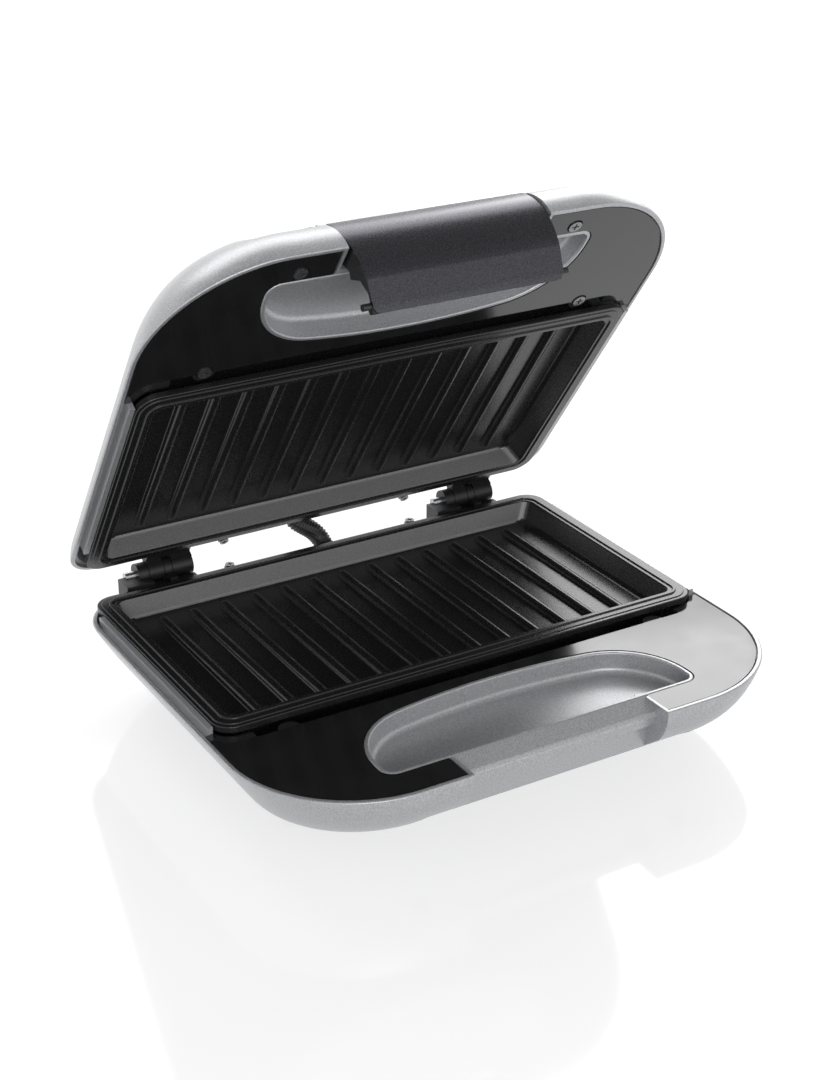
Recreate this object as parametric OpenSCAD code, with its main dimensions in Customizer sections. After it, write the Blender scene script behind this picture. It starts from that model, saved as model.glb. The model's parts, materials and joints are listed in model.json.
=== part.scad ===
// Sandwich toaster: two moulded shells, two ribbed non-stick plates, a pair of pin hinges at the
// back and a snap latch that hangs from the front of the lid.
//
// The pieces are laid out about the lower plate: x runs to the right from the middle, y runs
// back from the front and is 0 at the plate's rear edge, z runs up and is 0 at the plate's rim.
// The upper half is drawn in the same way, depth downwards, and turned over onto the hinges.
// The finished model stands on z = 0 with the middle of its outline over the origin.

/* [Lid] */
// Angle between the lid and the base, in degrees
lid_open = 54; // [30:1:90]
// Gap between the two plate rims when the lid is shut
lid_gap = 0.5; // [0.3:0.1:1.5]

/* [Plates] */
// Width of a plate
plate_w = 220; // [190:1:240]
// Depth of a plate, front to back
plate_d = 123.3; // [110:0.1:150]
// Radius of a plate's corners in plan
plate_corner_r = 8.5; // [7:0.5:12]
// Width of the flat rim round the pan
rim_w = 7.5; // [6.5:0.5:10]
// Thickness of the casting
plate_t = 2.6; // [2:0.1:3.4]
// Depth of the pan below the rim
pan_depth = 10; // [8:0.5:12]
// How far the pan's side walls lean in
pan_side_draft = 3.5; // [2:0.5:5]
// How far the pan's front and rear walls lean in
pan_end_draft = 1.6; // [1:0.1:3]
// Number of grill ribs
rib_count = 13; // [5:1:13]
// Distance from one rib to the next
rib_pitch = 14.15; // [11:0.05:14.4]
// Height of a rib, which is also half its width
rib_r = 2.3; // [1.5:0.1:3]
// Gap between a rib's end and the pan's wall
rib_end_gap = 5; // [3:0.5:12]

/* [Shells] */
// Shell beyond the plate at each side
side_band = 6; // [5.5:0.1:9]
// Shell in front of the plate
front_reach = 69.2; // [64:0.1:84]
// Shell behind the plate
rear_band = 5; // [5:0.1:8]
// Radius of the front corners in plan
corner_r = 52; // [44:1:60]
// Radius of the base's rear corners in plan
base_rear_r = 26; // [18:1:30]
// Radius of the lid's rear corners in plan
lid_rear_r = 14; // [12:1:24]
// Depth of each shell below its edge
shell_depth = 34; // [32:0.5:44]
// Wall thickness of a shell
wall = 2.3; // [2:0.1:2.8]
// Step from the plate's rim down to the shell's edge
edge_drop = 4; // [4:0.1:5]

/* [Front deck] */
// Width of the shell's edge that shows round the deck
deck_margin = 2.5; // [2:0.1:4]
// Thickness of the deck
deck_t = 2.4; // [1.8:0.1:3]
// Step from the shell's edge down to the deck
deck_step = 0.4; // [0.2:0.1:1]
// Open slot between deck and plate
slot_w = 5; // [4.4:0.1:6]

/* [Finger recess] */
// Half the width of the recess
recess_hw = 70.5; // [60:0.5:76]
// Distance from the shell's front to the recess
recess_front = 15.5; // [15:0.1:18]
// Length of the recess, front to back
recess_len = 44; // [38:0.5:46]
// Depth of the recess below the deck
recess_depth = 9; // [6:0.5:12]
// Radius of the recess's shoulders
shoulder_r = 32; // [24:1:36]

/* [Latch] */
// Width of the latch
latch_w = 84; // [60:1:100]
// Gap between the latch and the cheeks beside it
latch_gap = 1; // [0.6:0.1:2]
// Outer radius of the latch's curved cover
latch_r = 28.8; // [28:0.1:30]
// Thickness of the metal cover
cover_t = 1.2; // [0.8:0.1:1.6]

/* [Hinges] */
// Distance from the plate's left side to the left hinge
hinge_in_left = 16.5; // [12:0.5:20]
// Distance from the plate's right side to the right hinge
hinge_in_right = 18.5; // [12:0.5:20]
// Radius of a hinge barrel
barrel_r = 4.8; // [4.2:0.1:5.2]
// Radius of a hinge pin
pin_r = 2; // [1.5:0.1:2.4]
// Running clearance round a pin
pin_clear = 0.05; // [0.03:0.01:0.1]

/* [Feet] */
// Height of a rubber foot below the shell
foot_h = 4; // [3:0.5:8]
// Radius of a rubber foot
foot_r = 7; // [5:0.5:9]

/* [Hidden] */

$fn = 64;
// Overshoot that lets a cutter leave the surface it cuts
cut = 1;
// Assembly gap between two pieces that only stand beside each other
fit_gap = 0.3;

silver = [0.66, 0.67, 0.68];
gloss_black = [0.07, 0.07, 0.08];
coated_black = [0.10, 0.10, 0.11];
dark_metal = [0.16, 0.16, 0.19];
bare_steel = [0.72, 0.73, 0.75];
rubber_black = [0.13, 0.13, 0.13];

// Outline of the shells
shell_hw = plate_w/2 + side_band;
shell_front = -(plate_d + front_reach);
shell_rear = rear_band;
rim_floor = edge_drop + shell_depth;
mid_y = -plate_d/2;

// Heights of the layers, all below the rim
plate_step = 0.6;
rim_under = -(edge_drop - 0.2);
pan_under = -(pan_depth + plate_t);
deck_z = -(edge_drop + deck_step);
deck_under = deck_z - deck_t;
deck_edge = deck_z - deck_t/2;
deck_lip = 4.3;
deck_groove = 0.9;
recess_floor = deck_z - recess_depth;
recess_under = recess_floor - wall;

// Hinge axis, behind the shells and between their edges
hinge_y = rear_band + 0.7 + barrel_r;
hinge_z = lid_gap/2;
hinge_len = 33;
left_x = hinge_in_left - plate_w/2;
right_x = plate_w/2 - hinge_in_right - hinge_len;

// How far the shells' rear walls draw in
rear_round_y = 10;

// Height of the rim over the table, and the place of the model's middle
rim_height = rim_floor + foot_h;
lid_back = hinge_y + (shell_rear - rear_round_y - hinge_y)*cos(lid_open)
    + (lid_gap + rim_floor - hinge_z)*sin(lid_open);
origin_y = -(shell_front + lid_back)/2;

// Shape of the shells from edge to bottom: how far each side draws in
flank_slope = 0.6;
flank_edge = 1.5;
bottom_round = 10;
base_sweep = 42;
base_curve = 2.5;
base_tighten = 24;
lid_side = 28.6;
lid_sweep = 39;
lid_curve = 2.3;
lid_tighten = 30;
function side_inset(t, lid) = lid ? lid_side*pow(t, 1.46)
    : flank_slope*(sqrt(pow(t*shell_depth, 2) + pow(flank_edge, 2)) - flank_edge)
        + bottom_round*pow(t, 6);
function front_inset(t, lid) = lid ? lid_sweep*pow(t, lid_curve) : base_sweep*pow(t, base_curve);
function rear_inset(t) = rear_round_y*pow(t, 3);

// The front corners grow tighter with depth
function front_r(t, lid) = corner_r - (lid ? lid_tighten : base_tighten)*t*t;

// Lofted solids
corner_steps = 8;
shell_steps = 9;
function arc_points(cx, cy, r, from, to, steps) =
    [for (i = [0:steps]) let (a = from + (to - from)*i/steps) [cx + r*cos(a), cy + r*sin(a)]];
function ring(hw, front, rear, rf, rr, z) = [for (p = concat(
    arc_points(-hw + rf, front + rf, rf, 180, 270, corner_steps),
    arc_points(hw - rf, front + rf, rf, 270, 360, corner_steps),
    arc_points(hw - rr, rear - rr, rr, 0, 90, corner_steps),
    arc_points(-hw + rr, rear - rr, rr, 90, 180, corner_steps))) [p.x, p.y, z]];

// Skins a stack of rings, lowest first, all with the same number of points
module loft(rings) {
    n = len(rings[0]);
    m = len(rings);
    sides = [for (k = [0:m - 2], i = [0:n - 1])
        let (a = k*n + i, b = k*n + (i + 1)%n, c = b + n, d = a + n) each [[a, d, c], [a, c, b]]];
    bottom = [for (i = [0:n - 1]) i];
    top = [for (i = [n - 1:-1:0]) (m - 1)*n + i];
    polyhedron(points = [for (r = rings) each r], faces = concat([bottom], sides, [top]));
}

// Ring of the shell at fraction t of its depth, moved in by inset and up by lift
function shell_ring(t, lid, inset, lift) = ring(
    shell_hw - side_inset(t, lid) - inset,
    shell_front + front_inset(t, lid) + inset,
    shell_rear - rear_inset(t) - inset,
    front_r(t, lid) - inset,
    (lid ? lid_rear_r : base_rear_r) - inset,
    -edge_drop - t*shell_depth + lift);

function shell_levels(steps) = [for (i = [steps:-1:0]) sin(90*i/steps)];

module shell_outside(lid, grow = 0) {
    loft([for (t = shell_levels(shell_steps)) shell_ring(t, lid, -grow, -grow)]);
}

module shell_inside(lid) {
    lift = 0.8*wall;
    top = shell_ring(0, lid, wall - deck_step, cut);
    loft(concat([for (t = shell_levels(shell_steps - 2)) shell_ring(t, lid, wall, lift)],
        [[for (p = top) [p.x, p.y, cut]]]));
}

// Flat outlines
module rounded(hw, front, rear, rf, rr) {
    polygon([[-hw + rf, front], [hw - rf, front], [hw, front + rf], [hw, rear - rr],
        [hw - rr, rear], [-hw + rr, rear], [-hw, rear - rr], [-hw, front + rf]]);
    for (s = [-1, 1]) {
        translate([s*(hw - rf), front + rf]) circle(rf);
        if (rr > 0) translate([s*(hw - rr), rear - rr]) circle(rr);
    }
}

module plate_outline(grow = 0) {
    r = plate_corner_r + grow;
    rounded(plate_w/2 + grow, -plate_d - grow, grow, r, r);
}

module slab(low, high) {
    translate([0, 0, low]) linear_extrude(high - low) children();
}

// Both halves share one side's layout, so a pair is one thing drawn and its mirror image
module both_sides() {
    children();
    mirror([1, 0, 0]) children();
}

// Finger recess: a D with its straight side to the front
recess_y = shell_front + recess_front;
recess_back = recess_y + recess_len;
tip_r = 6;
back_r = 255;
shoulder_x = recess_hw - shoulder_r;
back_y = recess_back - back_r;
shoulder_y = back_y + sqrt(pow(back_r - shoulder_r, 2) - pow(shoulder_x, 2));
shoulder_a = atan2(shoulder_y - back_y, shoulder_x);
module recess_outline(grow = 0) {
    polygon(concat(
        arc_points(recess_hw - tip_r, recess_y + tip_r, tip_r + grow, 270, 360, 5),
        arc_points(shoulder_x, shoulder_y, shoulder_r + grow, 0, shoulder_a, 9),
        arc_points(0, back_y, back_r + grow, shoulder_a, 180 - shoulder_a, 8),
        arc_points(-shoulder_x, shoulder_y, shoulder_r + grow, 180 - shoulder_a, 180, 9),
        arc_points(tip_r - recess_hw, recess_y + tip_r, tip_r + grow, 180, 270, 5)));
}

// The front notch, where the latch hangs
lip_w = 2;
cheek_t = 3.4;
notch_hw = latch_w/2 + latch_gap;
notch_y = recess_y - lip_w;
deck_notch_hw = notch_hw + 1.5;

// Screw places, shared by the decks, the shells and the screws
screw_r = 1.5;
pilot_r = 1.25;
head_r = 3;
head_h = 2;
boss_r = 4.4;
lug_r = 4.6;
deck_screws = [
    [plate_w/2 - 26.1, -plate_d - slot_w - 0.5],
    [recess_hw - 11.7, shell_front + 11.4]
];
deck_post_end = -15.4;
plate_screw_x = plate_w/2 - 65;
plate_screw_y = 2.9;
plate_head_r = 2;
plate_boss_r = 2.4;

// Deck: the glossy frame in front of the plate, open at the recess and the notch
slot_hw = plate_w/2 - 12.8;
ear_y = -plate_d + 5;
module deck_outline() {
    difference() {
        rounded(shell_hw - deck_margin, shell_front + deck_margin, ear_y, corner_r - deck_margin, 0);
        plate_outline(grow = 0.6);
        translate([-slot_hw, -plate_d - slot_w]) square([2*slot_hw, slot_w + cut]);
        recess_outline();
        translate([-deck_notch_hw, shell_front]) square([2*deck_notch_hw, recess_front + lip_w]);
    }
    for (s = [-1, 1]) translate([s*deck_screws[0].x, deck_screws[0].y]) circle(lug_r);
}

// The deck thins to a lip at its outer edge, which lies in a rabbet in the shell
module deck_form() {
    slab(deck_edge, deck_z) deck_outline();
    slab(deck_under, deck_z) intersection() {
        deck_outline();
        rounded(shell_hw - deck_margin - deck_lip, shell_front + deck_margin + deck_lip, ear_y - fit_gap,
            corner_r - deck_margin - deck_lip, 0);
    }
}

module deck_rabbet() {
    out = deck_margin - deck_groove;
    slab(deck_edge, cut) rounded(shell_hw - out, shell_front + out, ear_y + fit_gap, corner_r - out, 0);
}

// Shell: the moulded bowl with everything that is moulded onto it
rail_gap = 0.3;
rail_w = 2.2;
rail_top = -1.5;
rail_rear = -15;
ledge_w = 5;
rear_ledge_t = 2;
rail_foot = -edge_drop - wall;
module side_rail() {
    x = plate_w/2 + rail_gap;
    out = x + rail_w;
    translate([0, rail_rear, 0]) rotate([90, 0, 0]) linear_extrude(rail_rear - ear_y - fit_gap)
        polygon([[x, rail_top], [x, rail_foot - 1.7], [out, rail_foot - 1.7], [out + 1.5, rail_foot],
            [out, rail_foot], [out, rail_top]]);
}

// Gusset under the plate's rim, along y at the wall
gusset_t = 2.4;
gusset_w = 4.2;
module rim_gusset(y) {
    x = plate_w/2 + rail_gap + rail_w;
    translate([0, y + gusset_t/2, 0]) rotate([90, 0, 0]) linear_extrude(gusset_t)
        polygon([[x, rim_under], [x - gusset_w - rail_w, rim_under],
            [x - gusset_w - rail_w, rim_under - 3], [x - rail_w, rail_foot - 1.7], [x, rail_foot - 1.7]]);
}

module deck_ledge(lid) {
    low = shell_hw - side_inset(0.1, lid) - 0.4*wall;
    slab(deck_under - 1.6, deck_under) intersection() {
        difference() {
            rounded(low, shell_front + wall, ear_y, corner_r, 0);
            rounded(low - ledge_w, shell_front + wall + ledge_w, ear_y + cut, corner_r - ledge_w, 0);
        }
        translate([-shell_hw, shell_front]) square([2*shell_hw, ear_y - shell_front]);
    }
}

module recess_cup() {
    difference() {
        slab(recess_under, deck_z) recess_outline(grow = -fit_gap);
        slab(recess_floor, deck_z + cut) recess_outline(grow = -fit_gap - lip_w);
    }
}

// Grip scoop: a shallow step in the shell's round front, below the latch and below the catch
scoop_step = 1;
scoop_len = 50;
scoop_from = 16;
scoop_r = 8;
lid_scoop_hw = notch_hw + 28;
base_scoop_hw = notch_hw + 16;
module grip_scoop(lid) {
    hw = lid ? lid_scoop_hw : base_scoop_hw;
    difference() {
        slab(-rim_floor - cut, -edge_drop - scoop_from)
            rounded(hw, shell_front - 2*scoop_r, shell_front + scoop_len, scoop_r, scoop_r);
        shell_outside(lid, grow = -scoop_step);
    }
}

// Walls that close the shell at both sides of the notch
module cheeks(lid) {
    intersection() {
        shell_outside(lid);
        both_sides() translate([notch_hw, shell_front - cut, -rim_floor]) {
            cube([cheek_t, recess_front + 6, rim_floor + deck_under]);
            cube([deck_notch_hw - notch_hw - fit_gap, recess_front - 1, rim_floor - edge_drop]);
        }
    }
}

module shell_form(lid) {
    difference() {
        shell_outside(lid);
        shell_inside(lid);
        deck_rabbet();
    }
    recess_cup();
    deck_ledge(lid);
    both_sides() {
        side_rail();
        for (y = [ear_y - rail_rear, 0, rail_rear - ear_y]) rim_gusset((ear_y + rail_rear)/2 + 0.45*y);
    }
    cheeks(lid);
}

// Base: catch bar for the latch, wells for the deck's screws, sockets for the feet
bar_front = notch_y - 5.8;
bar_low = recess_floor;
bar_t = 2;
module catch_bar() {
    slope = [for (i = [0:6]) let (a = 90*i/6)
        [notch_y - (notch_y - bar_front)*sin(a), deck_z - 5.6*(1 - cos(a))]];
    back = notch_y + lip_w;
    bottom = -edge_drop - shell_depth*pow((notch_y - shell_front)/base_sweep, 1/base_curve) - 0.4;
    translate([-notch_hw - cut, 0, 0]) rotate([90, 0, 90]) linear_extrude(2*(notch_hw + cut))
        polygon(concat([[back, deck_z]], slope, [[bar_front + 1, bar_low], [bar_front + bar_t + 1, bar_low],
            [bar_front + bar_t, deck_z - 6], [notch_y, deck_z - 5], [notch_y, bottom],
            [back, bottom]]));
}

foot_x = 50;
foot_rear_y = -14;
foot_front_y = shell_front + 72;
foot_seat = 1.2;
feet = [[foot_x, foot_rear_y], [foot_x, foot_front_y], [-foot_x, foot_rear_y], [-foot_x, foot_front_y]];

// Ways out for the mains cord and for the sleeve between the halves
inlet_x = 38;
inlet_z = -22;
inlet_r = 5;
sleeve_r = 4.4;
sleeve_deep = 9;
sleeve_low_x = 5;
sleeve_high_x = -8.7;
sleeve_spare = 3.2;
module sleeve_slot(x) {
    w = sleeve_r + sleeve_spare;
    translate([x, shell_rear + cut, 0]) rotate([90, 0, 0]) linear_extrude(10) {
        translate([0, -edge_drop - sleeve_deep]) circle(w);
        translate([-w, -edge_drop - sleeve_deep]) square([2*w, sleeve_deep + edge_drop + cut]);
    }
}

module rear_ledge(x_from, x_to) {
    translate([x_from, fit_gap, -edge_drop - rear_ledge_t])
        cube([x_to - x_from, shell_rear - fit_gap - 0.5, rear_ledge_t]);
}

module plate_screw_bosses() {
    for (s = [-1, 1]) translate([s*plate_screw_x, plate_screw_y, -edge_drop - 9])
        cylinder(h = 9, r = plate_boss_r);
}

module plate_screw_holes() {
    for (s = [-1, 1]) translate([s*plate_screw_x, plate_screw_y, -edge_drop - 8])
        cylinder(h = 8 + cut, r = 1);
}

module notch_cut() {
    translate([-notch_hw, shell_front - cut, -rim_floor - cut])
        cube([2*notch_hw, notch_y - shell_front + cut, rim_floor + cut]);
}

// Groove in the cheeks that takes the latch's snap pins
snap_y = 9.9;
snap_z = -15.5;
snap_r = 1.3;
snap_out = 1.4;
module cheek_grooves() {
    both_sides() translate([notch_hw - cut, shell_front + snap_y - 2.1, snap_z - 2.1])
        cube([cut + latch_gap + snap_out, 4.2, 30]);
}

vent_w = 3;
vent_pitch = 8;
module bottom_vents() {
    for (s = [-1, 1], i = [-3:3]) translate([s*22, mid_y - 6 + i*vent_pitch, 0])
        slab(-rim_floor - cut, -rim_floor + 3*wall) {
            square([26, vent_w], center = true);
            for (e = [-1, 1]) translate([e*13, 0]) circle(vent_w/2);
        }
}

well_r = 3.8;
module lower_shell() {
    color(silver) base_place() difference() {
        union() {
            difference() {
                union() {
                    shell_form(false);
                    intersection() {
                        shell_outside(false);
                        for (p = deck_screws, s = [-1, 1]) translate([s*p.x, p.y, -rim_floor])
                            cylinder(h = rim_floor + deck_post_end, r = well_r + 1.6);
                    }
                    rear_ledge(left_x + hinge_len + fit_gap, right_x - fit_gap);
                    plate_screw_bosses();
                    translate([inlet_x, shell_rear - 0.5, inlet_z]) rotate([90, 0, 0])
                        cylinder(h = 7, r = inlet_r + 2.6);
                }
                notch_cut();
            }
            catch_bar();
        }
        grip_scoop(false);
        cheek_grooves();
        for (p = deck_screws, s = [-1, 1]) translate([s*p.x, p.y, 0]) {
            translate([0, 0, -rim_floor - cut])
                cylinder(h = rim_floor + cut + deck_post_end - wall, r = well_r);
            translate([0, 0, deck_post_end - wall - cut]) cylinder(h = wall + 2*cut, r = screw_r + 0.2);
        }
        for (p = feet) translate([p.x, p.y, -rim_floor - cut])
            cylinder(h = foot_seat + cut, r = foot_r + 0.2);
        plate_screw_holes();
        sleeve_slot(sleeve_low_x);
        translate([inlet_x, shell_rear + cut, inlet_z]) rotate([90, 0, 0])
            cylinder(h = 10, r = inlet_r);
        bottom_vents();
    }
}

module lower_deck() {
    color(gloss_black) base_place() difference() {
        union() {
            deck_form();
            for (p = deck_screws, s = [-1, 1]) translate([s*p.x, p.y, deck_post_end])
                cylinder(h = deck_under - deck_post_end, r = 3.2);
        }
        for (p = deck_screws, s = [-1, 1]) translate([s*p.x, p.y, deck_post_end - cut])
            cylinder(h = 10 + cut, r = pilot_r);
    }
}

// Pan-head screw, head down, its shank up from z = 0
module pan_screw(len, r, head, head_h) {
    translate([0, 0, -head_h]) difference() {
        cylinder(h = head_h, r = head);
        translate([0, 0, -cut]) {
            translate([-head*0.6, -0.35, 0]) cube([head*1.2, 0.7, head_h/2 + cut]);
            translate([-0.35, -head*0.6, 0]) cube([0.7, head*1.2, head_h/2 + cut]);
        }
    }
    cylinder(h = len, r = r);
}

module lower_deck_screws() {
    color(bare_steel) base_place() for (p = deck_screws, s = [-1, 1])
        translate([s*p.x, p.y, deck_post_end - wall]) pan_screw(wall + 9, pilot_r, head_r, head_h);
}

// Plate: rim, stepped edge, bead, pan with ribs, posts and screw lugs
bead_in = 4.5;
bead_w = 1.2;
rib_field = plate_d - 2*(rim_w + pan_end_draft + rib_end_gap + rib_r);
post_r = 3;
shield_x = plate_w/2 - 44;
shield_y = plate_d/2 - 20.65;
shield_z = -24;
shield_t = 0.8;
leg_y = plate_d/2 - 35.15;
element_r = 3.3;
element_z = pan_under - element_r;
clip_x = [-42, 22];
clip_reach = 7;
module grill_rib() {
    rotate([90, 0, 0]) cylinder(h = rib_field, r = rib_r, center = true);
    for (s = [-1, 1]) translate([0, s*rib_field/2, 0]) sphere(rib_r);
}

module pan_space(shrink) {
    hw = plate_w/2 - rim_w + shrink;
    low = -plate_d + rim_w - shrink;
    high = -rim_w + shrink;
    r = 5 + shrink;
    floor_z = -pan_depth - shrink;
    top_z = shrink > 0 ? rim_under + 0.5 : cut;
    grow = shrink > 0 ? 0 : cut/pan_depth;
    loft([ring(hw - pan_side_draft, low + pan_end_draft, high - pan_end_draft, r, r, floor_z),
        ring(hw + grow*pan_side_draft, low - grow*pan_end_draft, high + grow*pan_end_draft, r, r, top_z)]);
}

module plate_form() {
    difference() {
        union() {
            slab(rim_under, -plate_step - 0.4) plate_outline();
            slab(rim_under, -plate_step) plate_outline(grow = -1.7);
            slab(rim_under, 0) plate_outline(grow = -bead_in);
            pan_space(plate_t);
            for (s = [-1, 1], e = [-1, 1]) translate([s*shield_x, mid_y + e*shield_y, shield_z])
                cylinder(h = -shield_z - pan_depth - 1, r = post_r);
            for (x = clip_x, s = [-1, 1], e = [-1, 1])
                translate([x, mid_y + s*leg_y + e*clip_reach, element_z])
                    cylinder(h = element_r + 1, r = post_r);
            for (s = [-1, 1]) translate([s*plate_screw_x, 0, rim_under]) {
                translate([-3.2, -2, 0]) cube([6.4, 2 + plate_screw_y, 1.2]);
                translate([0, plate_screw_y, 0]) cylinder(h = 1.2, r = plate_head_r);
            }
        }
        difference() {
            slab(-plate_step, cut) plate_outline(grow = -bead_in - bead_w);
            slab(-plate_step - cut, 2*cut) plate_outline(grow = -rim_w - 0.5);
        }
        pan_space(0);
        for (s = [-1, 1]) translate([s*plate_screw_x, plate_screw_y, rim_under - cut])
            cylinder(h = 1.2 + 2*cut, r = 1.15);
        for (s = [-1, 1], e = [-1, 1]) translate([s*shield_x, mid_y + e*shield_y, shield_z - cut])
            cylinder(h = 8 + cut, r = pilot_r);
        for (x = clip_x, s = [-1, 1], e = [-1, 1])
            translate([x, mid_y + s*leg_y + e*clip_reach, element_z - cut])
                cylinder(h = element_r + cut, r = 1);
    }
    intersection() {
        translate([0, 0, -pan_depth]) slab(-0.5, rib_r + cut)
            translate([-plate_w/2, -plate_d]) square([plate_w, plate_d]);
        for (i = [0:rib_count - 1])
            translate([(i - (rib_count - 1)/2)*rib_pitch, mid_y, -pan_depth]) grill_rib();
    }
}

module lower_plate() {
    color(coated_black) base_place() plate_form();
}

module plate_screws() {
    for (s = [-1, 1]) translate([s*plate_screw_x, plate_screw_y, rim_under + 1.2])
        rotate([180, 0, 0]) pan_screw(8, 1, plate_head_r, 1.3);
}

module lower_plate_screws() {
    color(bare_steel) base_place() plate_screws();
}

// Heater: a sheathed tube in a long U under the pan, in clips, over a steel shield
leg_from = -72;
leg_to = 46;
module heating_element() {
    translate([0, mid_y, element_z]) {
        for (s = [-1, 1]) translate([0, s*leg_y, 0]) rotate([0, 90, 0]) {
            translate([0, 0, leg_from]) cylinder(h = leg_to - leg_from, r = element_r);
            translate([0, 0, leg_from - 9]) cylinder(h = 10, r = 1.2);
        }
        translate([leg_to, 0, 0]) rotate([0, 0, -90])
            rotate_extrude(angle = 180) translate([leg_y, 0]) circle(element_r);
    }
}

clip_w = 9;
clip_t = 0.8;
module element_clips() {
    for (x = clip_x, s = [-1, 1]) translate([x, mid_y + s*leg_y, element_z]) difference() {
        union() {
            intersection() {
                rotate([0, 90, 0]) cylinder(h = clip_w, r = element_r + clip_t, center = true);
                translate([-clip_w, -element_r - clip_t, -2*element_r])
                    cube([2*clip_w, 2*(element_r + clip_t), 2*element_r]);
            }
            translate([-clip_w/2, -clip_reach - 3, -clip_t]) cube([clip_w, 2*(clip_reach + 3), clip_t]);
        }
        rotate([0, 90, 0]) cylinder(h = clip_w + 2*cut, r = element_r, center = true);
        for (e = [-1, 1]) translate([0, e*clip_reach, -clip_t - cut])
            cylinder(h = clip_t + 2*cut, r = 1.2);
    }
}

module clip_screws() {
    for (x = clip_x, s = [-1, 1], e = [-1, 1])
        translate([x, mid_y + s*leg_y + e*clip_reach, element_z - clip_t])
            pan_screw(clip_t + 2.8, 1, 1.9, 1.3);
}

shield_hw = shield_x + 8;
shield_hd = shield_y + 7;
module heat_shield() {
    translate([0, mid_y, shield_z]) difference() {
        slab(-shield_t, 3) rounded(shield_hw, -shield_hd, shield_hd, 8, 8);
        slab(0, 3 + cut) rounded(shield_hw - shield_t, -shield_hd + shield_t, shield_hd - shield_t,
            8 - shield_t, 8 - shield_t);
        for (s = [-1, 1], e = [-1, 1]) translate([s*shield_x, e*shield_y, -shield_t - cut])
            cylinder(h = shield_t + 2*cut, r = screw_r + 0.2);
        for (s = [-1, 1], i = [-3:3]) translate([s*30, i*9, -shield_t - cut])
            slab(0, shield_t + 2*cut) square([34, 2.5], center = true);
    }
}

module shield_screws() {
    for (s = [-1, 1], e = [-1, 1])
        translate([s*shield_x, mid_y + e*shield_y, shield_z - shield_t])
            pan_screw(shield_t + 7, pilot_r, head_r, 1.6);
}

thermostat_r = 8;
module thermostat() {
    translate([0, mid_y, pan_under]) {
        translate([0, 0, -2.4]) cylinder(h = 2.4, r = thermostat_r);
        translate([0, 0, -7]) cylinder(h = 4.8, r = thermostat_r - 1.6);
        for (s = [-1, 1]) translate([s*6.4 - 2.4, -2.4, -6]) cube([4.8, 4.8, 0.8]);
    }
}

module lower_heating_element() {
    color(dark_metal) base_place() heating_element();
}

module lower_element_clips() {
    color(bare_steel) base_place() element_clips();
}

module lower_clip_screws() {
    color(bare_steel) base_place() clip_screws();
}

module lower_heat_shield() {
    color(bare_steel) base_place() heat_shield();
}

module lower_shield_screws() {
    color(bare_steel) base_place() shield_screws();
}

module lower_thermostat() {
    color("ivory") base_place() thermostat();
}

// Fuse lying against the pan between the element's legs
fuse_r = 2.2;
module thermal_fuse() {
    color(bare_steel) base_place() translate([-30, mid_y, pan_under - fuse_r]) rotate([0, 90, 0]) {
        cylinder(h = 11, r = fuse_r, center = true);
        cylinder(h = 26, r = 0.6, center = true);
    }
}

// Screw terminals on the shell's floor behind the shield
block_x = -18;
block_y = -15;
block_w = 30;
block_d = 10;
block_h = 9;
way_pitch = 9.5;
way_r = 1.6;
way_z = 4;
groove_w = 1.2;
module terminal_block() {
    color("ivory") base_place() translate([block_x, block_y, -rim_floor + 0.8*wall]) difference() {
        translate([-block_w/2, -block_d/2, 0]) cube([block_w, block_d, block_h]);
        for (i = [-1:1]) translate([i*way_pitch, 0, way_z]) {
            rotate([90, 0, 0]) cylinder(h = block_d + 2*cut, r = way_r, center = true);
            cylinder(h = block_h, r = way_r + 0.2);
        }
        for (i = [-0.5, 0.5]) translate([i*way_pitch - groove_w/2, -block_d/2 - cut, block_h - 4])
            cube([groove_w, block_d + 2*cut, 4 + cut]);
    }
}

// Rubber bush that the mains cord comes through
bush_bore = 3.4;
module cord_inlet() {
    color(rubber_black) base_place() translate([inlet_x, shell_rear, inlet_z]) rotate([-90, 0, 0])
        difference() {
            union() {
                translate([0, 0, -8.5]) cylinder(h = 10, r = inlet_r);
                translate([0, 0, 0]) cylinder(h = 2.5, r = inlet_r + 1.6);
            }
            translate([0, 0, -8.5 - cut]) cylinder(h = 12 + cut, r = bush_bore);
        }
}

module rubber_feet() {
    color(rubber_black) base_place() for (p = feet) translate([p.x, p.y, -rim_floor - foot_h]) {
        cylinder(h = 1, r1 = foot_r - 1, r2 = foot_r);
        translate([0, 0, 1]) cylinder(h = foot_h - 1 + foot_seat, r = foot_r);
    }
}

// Hinges: base ears and lid barrels take turns along one pin
ear_a = [0, 12.5];
knuckle_a = [12.8, 19.5];
ear_b = [19.8, 23.2];
knuckle_b = [23.5, 33];
pin_from = 3;
pin_to = 31;
bore_r = pin_r + pin_clear;
// Tongue of a hinge inside the shell's rear wall
hook_t = rear_band - wall - fit_gap - 0.7;

module along_axis(x, len, r) {
    translate([x, hinge_y, hinge_z]) rotate([0, 90, 0]) cylinder(h = len, r = r);
}

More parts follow.
